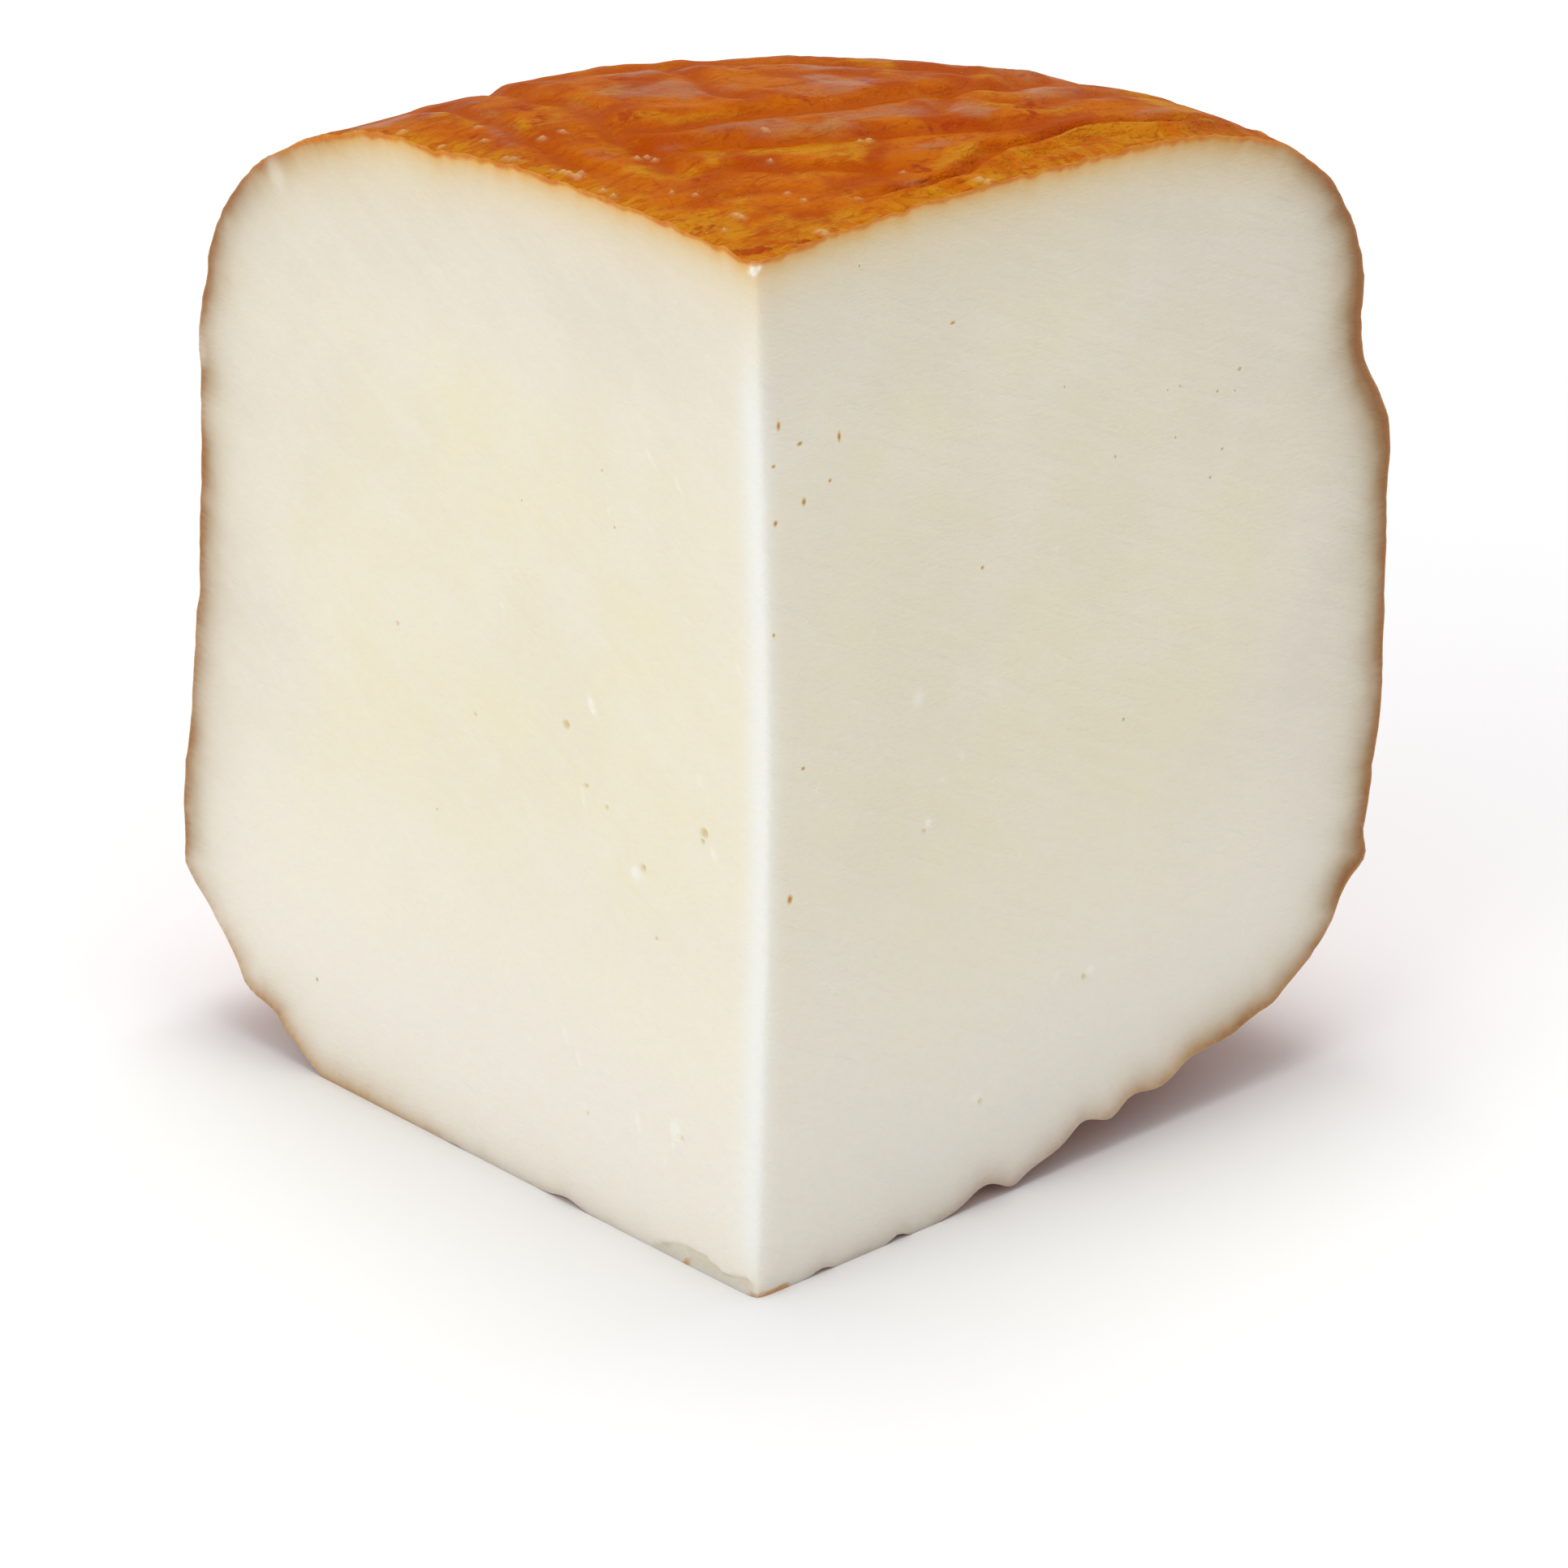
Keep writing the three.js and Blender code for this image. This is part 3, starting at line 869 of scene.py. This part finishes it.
def make_creases():
    """Thin bent lines such as wrinkles in skin: 1 on a line, 0 elsewhere."""
    tree, given, out = group("Creases", {"Size": 5, "Seed": 0, "Width": 0.05, "Detail": 2},
                             "Mask")
    scale = math_node(tree, "DIVIDE", 1, given["Size"])
    bent = node(tree, "TexNoise", {"Vector": millimetres(tree), "W": given["Seed"],
                                   "Scale": scale, "Detail": given["Detail"],
                                   "Distortion": 0.6}, noise_dimensions="4D")
    middle = math_node(tree, "ABSOLUTE", math_node(tree, "SUBTRACT", bent.outputs["Fac"], 0.5))
    tree.links.new(ramp(tree, middle, given["Width"], 0), out)
    return tree


def make_specks():
    """Scattered small round specks: 1 in a speck, 0 elsewhere."""
    tree, given, out = group("Specks", {"Spacing": 4, "Radius": 0.3, "Share": 0.3}, "Mask")
    scale = math_node(tree, "DIVIDE", 1, given["Spacing"])
    cells = node(tree, "TexVoronoi", {"Vector": millimetres(tree), "Scale": scale})
    chance = node(tree, "SeparateColor", {0: cells.outputs["Color"]}).outputs[0]
    chosen = math_node(tree, "LESS_THAN", chance, given["Share"])
    reach = times(tree, given["Radius"], scale)
    near = ramp(tree, cells.outputs["Distance"], reach, times(tree, reach, 0.5))
    tree.links.new(times(tree, near, chosen), out)
    return tree


# ---------------------------------------------------------------- the rind's finish
# All colours are linear red, green and blue
ORANGE = (0.62, 0.150, 0.002)
DEEP_ORANGE = (0.47, 0.070, 0.001)
AMBER = (0.66, 0.265, 0.008)
RUST = (0.40, 0.036, 0.003)
TAN_SIDE = (0.40, 0.14, 0.035)
SHEEN_PINK = (0.43, 0.165, 0.075)  # painted sheen: a pinkish painted reflection on the rind's high places
# crumbs of dried curd, and the pale painted glints of the salt specks
CRUMB_AND_GLINT_WHITE = (0.84, 0.60, 0.29)


def start_material(name):
    material = bpy.data.materials.new(name)
    material.use_nodes = True
    return material, material.node_tree


def finish_material(material, sockets):
    """Sets the shader's sockets. Each is a value, or a node's output to join to."""
    tree = material.node_tree
    shader = next(n for n in tree.nodes if n.type == "BSDF_PRINCIPLED")
    for name, value in sockets.items():
        feed(tree, shader.inputs[name], value)
    return material


def small_bumps(tree, height, distance, strength):
    """Small bumps that the mesh is too coarse for."""
    return node(tree, "Bump", {"Height": height, "Distance": distance * MM,
                               "Strength": strength}).outputs[0]


def blotches(tree, mottle, size, seed, low, high, detail=2):
    return place_group(tree, mottle, Size=size, Seed=seed, Low=low, High=high, Detail=detail)


def stretched_noise(tree, place, slant, stretch, size, detail):
    """Noise drawn out along one direction of the first two axes, slant degrees from the first."""
    lying = node(tree, "Mapping", {"Vector": place, "Rotation": (0, 0, math.radians(slant)),
                                   "Scale": (stretch, 1, 1)}, vector_type="TEXTURE").outputs[0]
    return node(tree, "TexNoise", {"Vector": lying, "Scale": 1 / size, "Detail": detail,
                                   "Roughness": 0.6}).outputs["Fac"]


def eaten_away(tree, patch, noise_value):
    """A patch made uneven by noise between about -0.5 and 0.5, and still 0 where it was 0."""
    return times(tree, patch, plus(tree, noise_value, 1))


def make_rind(mottle, grain, creases, specks_group):
    material, tree = start_material("orange rind")
    fold, run, from_cut = mask(tree, "fold"), mask(tree, "run"), mask(tree, "from_cut")
    place = millimetres(tree)
    side = ramp(tree, run, 56, 90)

    # what lies on the rind breaks up partly into blotches and partly into brushed streaks
    brushed = ramp(tree, stretched_noise(tree, place, 38, 4, 1.7, 4), 0.4, 0.6)
    broken = blotches(tree, mottle, 3.0, 8, 0.36, 0.64, 5)
    broken = plus(tree, times(tree, broken, 0.6), times(tree, brushed, 0.5), -0.55)

    deep = blotches(tree, mottle, 7, 1, 0.42, 0.6, 4)
    amber = times(tree, blotches(tree, mottle, 6, 2, 0.5, 0.68, 4), 0.7)
    amber = eaten_away(tree, plus(tree, mask(tree, "amber"), amber), broken)
    amber = times(tree, ramp(tree, amber, 0.2, 1.0), ramp(tree, side, 0, 1, 0.8, 0.5))

    # the band beside the cut, with streaks across it. Its amber is painted light: the glow of light
    # coming through the thin rind by the cut
    across_band = node(tree, "CombineXYZ", {0: run, 1: times(tree, from_cut, 0.22)}).outputs[0]
    streaks = node(tree, "TexNoise", {"Vector": across_band, "Scale": 0.8, "Detail": 3})
    streaks = ramp(tree, streaks.outputs["Fac"], 0.45, 0.62)
    wavy = times(tree, blotches(tree, mottle, 3, 3, 0.2, 0.8, 3), 2.4)
    glowing_cut_band = ramp(tree, plus(tree, from_cut, wavy), 4.6, 1.6)
    glowing_cut_band = times(tree, glowing_cut_band, ramp(tree, run, 62, 40))

    # painted sheen: a pinkish painted reflection on the high places, which also get a glossier coat
    sheen_patch = times(tree, blotches(tree, mottle, 8, 4, 0.5, 0.62, 3), side)
    sheen_patch = ramp(tree, eaten_away(tree, plus(tree, mask(tree, "sheen_patch"), sheen_patch), broken), 0.15, 0.95)
    sheen_patch = times(tree, sheen_patch, without(tree, times(tree, fold, 0.7)))

    # short dark flecks, all lying one way, and thin crease lines
    flecks = ramp(tree, stretched_noise(tree, place, 40, 3.2, 0.9, 4), 0.54, 0.64)
    fine_flecks = ramp(tree, stretched_noise(tree, place, 25, 2.4, 0.4, 3), 0.56, 0.64)
    lines = place_group(tree, creases, Size=5, Seed=3, Width=0.03, Detail=3)
    fine_lines = place_group(tree, creases, Size=2.2, Seed=5, Width=0.05, Detail=2)

    rust = times(tree, blotches(tree, mottle, 2.6, 5, 0.64, 0.72, 4), 0.5)
    crumbly = plus(tree, times(tree, blotches(tree, mottle, 0.8, 9, 0.36, 0.64, 4), 1.2), -0.6)
    rust = eaten_away(tree, plus(tree, mask(tree, "rust"), rust), plus(tree, broken, crumbly))
    # salt specks: raised in the bump, and painted pale as glints, a painted highlight; the crumbs
    # of dried curd share that colour
    glinting_salt = place_group(tree, specks_group, Spacing=1.1, Radius=0.1, Share=0.26)
    crumb = larger(tree, times(tree, glinting_salt, 0.6), times(tree, mask(tree, "crumb"), 0.7))

    colour = laid_on(
        tree, ORANGE,
        (deep, DEEP_ORANGE),
        (times(tree, ramp(tree, run, 34, 78), 0.5), TAN_SIDE),
        (amber, AMBER),
        (times(tree, glowing_cut_band, 0.75), mix(tree, streaks, AMBER, ORANGE)),
        (times(tree, sheen_patch, 0.55), SHEEN_PINK),
        (times(tree, fold, 0.75), DEEP_ORANGE),
        (times(tree, flecks, 0.6), DEEP_ORANGE),
        (times(tree, fine_flecks, without(tree, side), 0.45), DEEP_ORANGE),
        (times(tree, lines, 0.15), DEEP_ORANGE),
        (times(tree, ramp(tree, rust, 0.3, 0.95), 0.8), RUST),
        (crumb, CRUMB_AND_GLINT_WHITE))
    rough = ramp(tree, blotches(tree, mottle, 2.5, 6, 0.3, 0.7, 4), 0, 1, 0.28, 0.44)

    wrinkles = place_group(tree, grain, Size=2.0, Roughness=0.62)
    pores = place_group(tree, grain, Size=0.35, Roughness=0.75)
    height = plus(tree, wrinkles, times(tree, pores, 0.45), times(tree, brushed, 0.25),
                  times(tree, streaks, glowing_cut_band, 0.3), times(tree, glinting_salt, 0.3),
                  times(tree, plus(tree, lines, times(tree, fine_lines, 0.6)), -0.15))
    return finish_material(material, {
        "Base Color": colour, "Roughness": rough, "Coat Weight": ramp(tree, sheen_patch, 0, 1, 0.09, 0.27),
        "Coat Roughness": 0.17,
        "Specular IOR Level": 0.0,  # the coat gives all of the gloss
        "Subsurface Weight": 0.15, "Subsurface Radius": (1.0, 0.35, 0.1),
        "Subsurface Scale": 0.8 * MM, "Normal": small_bumps(tree, height, 0.6, 1.0)})


# ---------------------------------------------------------------- the paste's finish
IVORY = (0.825, 0.765, 0.645)  # paste near the rind
CREAM = (0.893, 0.822, 0.612)
CHALK = (0.91, 0.86, 0.76)
BLUSH = (0.945, 0.905, 0.82)  # wetter paste, low down
# painted highlight along the front edge
EDGE_HIGHLIGHT = (0.93, 0.945, 0.915)
OLIVE = (0.42, 0.305, 0.115)
TAN = (0.33, 0.140, 0.045)
AMBER_HALO = (0.78, 0.43, 0.10)
WARM_CREAM = (0.80, 0.635, 0.315)
SPECK_AMBER = (0.56, 0.28, 0.07)
SPECK_HALO = (0.80, 0.62, 0.36)
SPECK_GREY = (0.56, 0.50, 0.38)
PIT_OLIVE = (0.74, 0.61, 0.28)
CURD_WHITE = (0.96, 0.925, 0.83)
CHIP_GREY = (0.74, 0.65, 0.50)
TIP_TAN = (0.64, 0.34, 0.14)


def fade(tree, distance, reach):
    """1 at no distance, less and less further away."""
    return math_node(tree, "EXPONENT", times(tree, distance, -1 / reach))


def capped(tree, value, most):
    return math_node(tree, "MINIMUM", value, most)


def make_paste(mottle, grain):
    material, tree = start_material("ivory paste")
    run, under_rind, across = mask(tree, "run"), mask(tree, "under_rind"), mask(tree, "across")
    place = millimetres(tree)
    up = node(tree, "SeparateXYZ", {0: place}).outputs["Z"]
    sheet = node(tree, "CombineXYZ", {0: across, 1: up}).outputs[0]

    uneven = blotches(tree, mottle, 22, 11, 0.4, 0.62)
    creamy = plus(tree, ramp(tree, under_rind, 4, 24), times(tree, uneven, 0.6))
    by_nose = ramp(tree, math_node(tree, "ABSOLUTE", across), 16, 2)
    dry = blotches(tree, mottle, 9, 12, 0.45, 0.65, 3)
    dragged = ramp(tree, stretched_noise(tree, sheet, -30, 7, 2.2, 3), 0.42, 0.62)
    fine = ramp(tree, stretched_noise(tree, sheet, 0, 3, 0.35, 2), 0.4, 0.6)
    colour = laid_on(
        tree, IVORY,
        (ramp(tree, creamy, 0.1, 1.5), CREAM),
        (times(tree, ramp(tree, up, 42, 6), 0.75), BLUSH),
        (times(tree, by_nose, 0.3), CHALK),
        (times(tree, dry, 0.3), CHALK),
        (times(tree, dragged, 0.16), CHALK),
        (times(tree, fine, 0.12), CHALK))

    # stained paste under the rind: a wide olive band, a warm halo by the crown, and a brown rim.
    # The olive band and the brown rim also hold painted shade, stronger on the right face
    notches = times(tree, blotches(tree, mottle, 2.2, 14, 0.2, 0.8, 3), -0.4)
    ragged = larger(tree, plus(tree, under_rind, notches), 0)
    on_crown = ramp(tree, run, 70, 50)
    patchy = ramp(tree, blotches(tree, mottle, 6, 16, 0.35, 0.65, 3), 0, 1, 0.75, 1)
    strength = times(tree, mask(tree, "stain_and_shade"), patchy)
    above_foot = ramp(tree, run, 172, 156, 0.25, 1)
    by_heel = times(tree, ramp(tree, run, 132, 150), ramp(tree, run, 175, 160), 0.4)
    warm = larger(tree, on_crown, by_heel)
    crumbled = blotches(tree, mottle, 1.1, 18, 0.3, 0.7, 4)
    colour = laid_on(
        tree, colour,
        (capped(tree, times(tree, fade(tree, under_rind, 2.0), strength, above_foot), 0.9), OLIVE),
        (times(tree, fade(tree, under_rind, 3.4), on_crown, 0.95), WARM_CREAM),
        (capped(tree, times(tree, fade(tree, ragged, 0.9), warm, 1.3), 1), AMBER_HALO),
        (capped(tree, times(tree, fade(tree, ragged, 0.95), strength), 1), TAN),
        (times(tree, ramp(tree, ragged, 0.45, 0.0), on_crown), mix(tree, crumbled, AMBER, ORANGE)))

    amber_speck, grey_speck = mask(tree, "amber_speck"), mask(tree, "grey_speck")
    chip = times(tree, mask(tree, "chip"), ramp(tree, crumbled, 0, 1, 0.3, 0.7))
    smeared = times(tree, blotches(tree, mottle, 1.5, 17, 0.3, 0.7), 0.4)
    tip = ramp(tree, plus(tree, mask(tree, "tip"), smeared), 0.45, 0.85)
    colour = laid_on(
        tree, colour,
        (times(tree, mask(tree, "edge_highlight"), 0.8), EDGE_HIGHLIGHT),
        (times(tree, mask(tree, "pit"), 0.75), PIT_OLIVE),
        (times(tree, mask(tree, "curd"), 0.85), CURD_WHITE),
        (ramp(tree, amber_speck, 0.05, 0.3), SPECK_HALO),
        (ramp(tree, amber_speck, 0.3, 0.75), SPECK_AMBER),
        (ramp(tree, grey_speck, 0.05, 0.3), CREAM),
        (ramp(tree, grey_speck, 0.3, 0.75), SPECK_GREY),
        (chip, CHIP_GREY),
        (tip, TIP_TAN))
    rough = ramp(tree, blotches(tree, mottle, 3, 15, 0.3, 0.7, 3), 0, 1, 0.48, 0.62)

    curd = place_group(tree, grain, Size=1.3, Roughness=0.65)
    height = plus(tree, curd, times(tree, dragged, 0.5), times(tree, fine, 0.25))
    return finish_material(material, {
        "Base Color": colour, "Roughness": rough, "Specular IOR Level": 0.4,
        "Subsurface Weight": 0.4, "Subsurface Radius": (1.0, 0.7, 0.4),
        "Subsurface Scale": 1.8 * MM, "Normal": small_bumps(tree, height, 0.12, 0.8)})


# ---------------------------------------------------------------- stage, lights and camera
FLOOR_RADIUS = 4.0  # metres
FLOOR_WHITE = (0.95, 0.95, 0.95, 1)
ROOM_COLOUR, ROOM_BRIGHTNESS = (0.98, 0.985, 1.0, 1), 0.46

# Square soft lights: name, degrees round from the front to the right, degrees up, metres away,
# width in metres, watts, colour
LIGHTS = [
    ("left window", -44, 30, 1.7, 1.4, 7.6, (1.0, 0.985, 0.95)),
    ("front fill", 8, 24, 0.65, 0.5, 0.2, (0.97, 0.98, 1.0)),
    ("back sky", 176, 30, 1.6, 1.3, 1.5, (0.95, 0.97, 1.0)),
    ("overhead", 176, 82, 1.6, 1.0, 15.5, (1.0, 1.0, 1.0)),
]

CAMERA_AZIMUTH, CAMERA_ELEVATION = 2.6, 26.8  # degrees
CAMERA_DISTANCE = 2.03  # metres
CAMERA_LENS = 576  # millimetres
AIM_RIGHT, AIM_UP = 2.24, 0.3  # how far beside the middle of the wheel's axis it aims, in mm


def make_floor():
    bpy.ops.mesh.primitive_circle_add(vertices=96, radius=FLOOR_RADIUS, fill_type="NGON",
                                      location=(0, 0, 0))
    floor = bpy.context.object
    floor.name = "floor"
    material, _ = start_material("white floor")
    floor.data.materials.append(finish_material(material, {
        "Base Color": FLOOR_WHITE, "Roughness": 0.9, "Specular IOR Level": 0.1}))
    return floor


def way_out(azimuth, elevation):
    """Direction from the cheese. Azimuth goes from the front to the right, in degrees."""
    a, e = math.radians(azimuth), math.radians(elevation)
    return Vector((math.sin(a) * math.cos(e), -math.cos(a) * math.cos(e), math.sin(e)))


def add_soft_light(name, azimuth, elevation, distance, size, power, colour):
    away = way_out(azimuth, elevation)
    light = bpy.data.lights.new(name, "AREA")
    light.size, light.energy, light.color = size, power, colour
    holder = bpy.data.objects.new(name, light)
    holder.location = away * distance + Vector((0, 0, WHEEL_HEIGHT / 2 * MM))
    holder.rotation_euler = away.to_track_quat("Z", "Y").to_euler()
    holder.visible_camera = False
    bpy.context.scene.collection.objects.link(holder)


def light_the_scene():
    world = bpy.data.worlds.new("pale room")
    world.use_nodes = True
    background = world.node_tree.nodes["Background"]
    background.inputs["Color"].default_value = ROOM_COLOUR
    background.inputs["Strength"].default_value = ROOM_BRIGHTNESS
    bpy.context.scene.world = world
    for light in LIGHTS:
        add_soft_light(*light)


def add_camera():
    away = way_out(CAMERA_AZIMUTH, CAMERA_ELEVATION)
    turn = away.to_track_quat("Z", "Y")
    right, up = turn @ Vector((1, 0, 0)), turn @ Vector((0, 1, 0))
    middle = Vector((0, AXIS_Y, WHEEL_HEIGHT / 2)) * MM
    aim = middle + right * AIM_RIGHT * MM + up * AIM_UP * MM
    camera = bpy.data.objects.new("camera", bpy.data.cameras.new("camera"))
    camera.data.lens = CAMERA_LENS
    camera.data.clip_end = 30
    camera.location = aim + away * CAMERA_DISTANCE
    camera.rotation_euler = turn.to_euler()
    bpy.context.scene.collection.objects.link(camera)
    bpy.context.scene.camera = camera


# ---------------------------------------------------------------- putting it together
def build_scene():
    mottle, grain, creases, specks_group = (make_mottle(), make_grain(), make_creases(),
                                            make_specks())
    cheese = make_cheese(make_rind(mottle, grain, creases, specks_group),
                         make_paste(mottle, grain))
    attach(cheese, "root")
    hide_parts("cheese_quarter")
    make_floor()
    light_the_scene()
    add_camera()
    bpy.context.scene.view_settings.view_transform = "Standard"


build_scene()
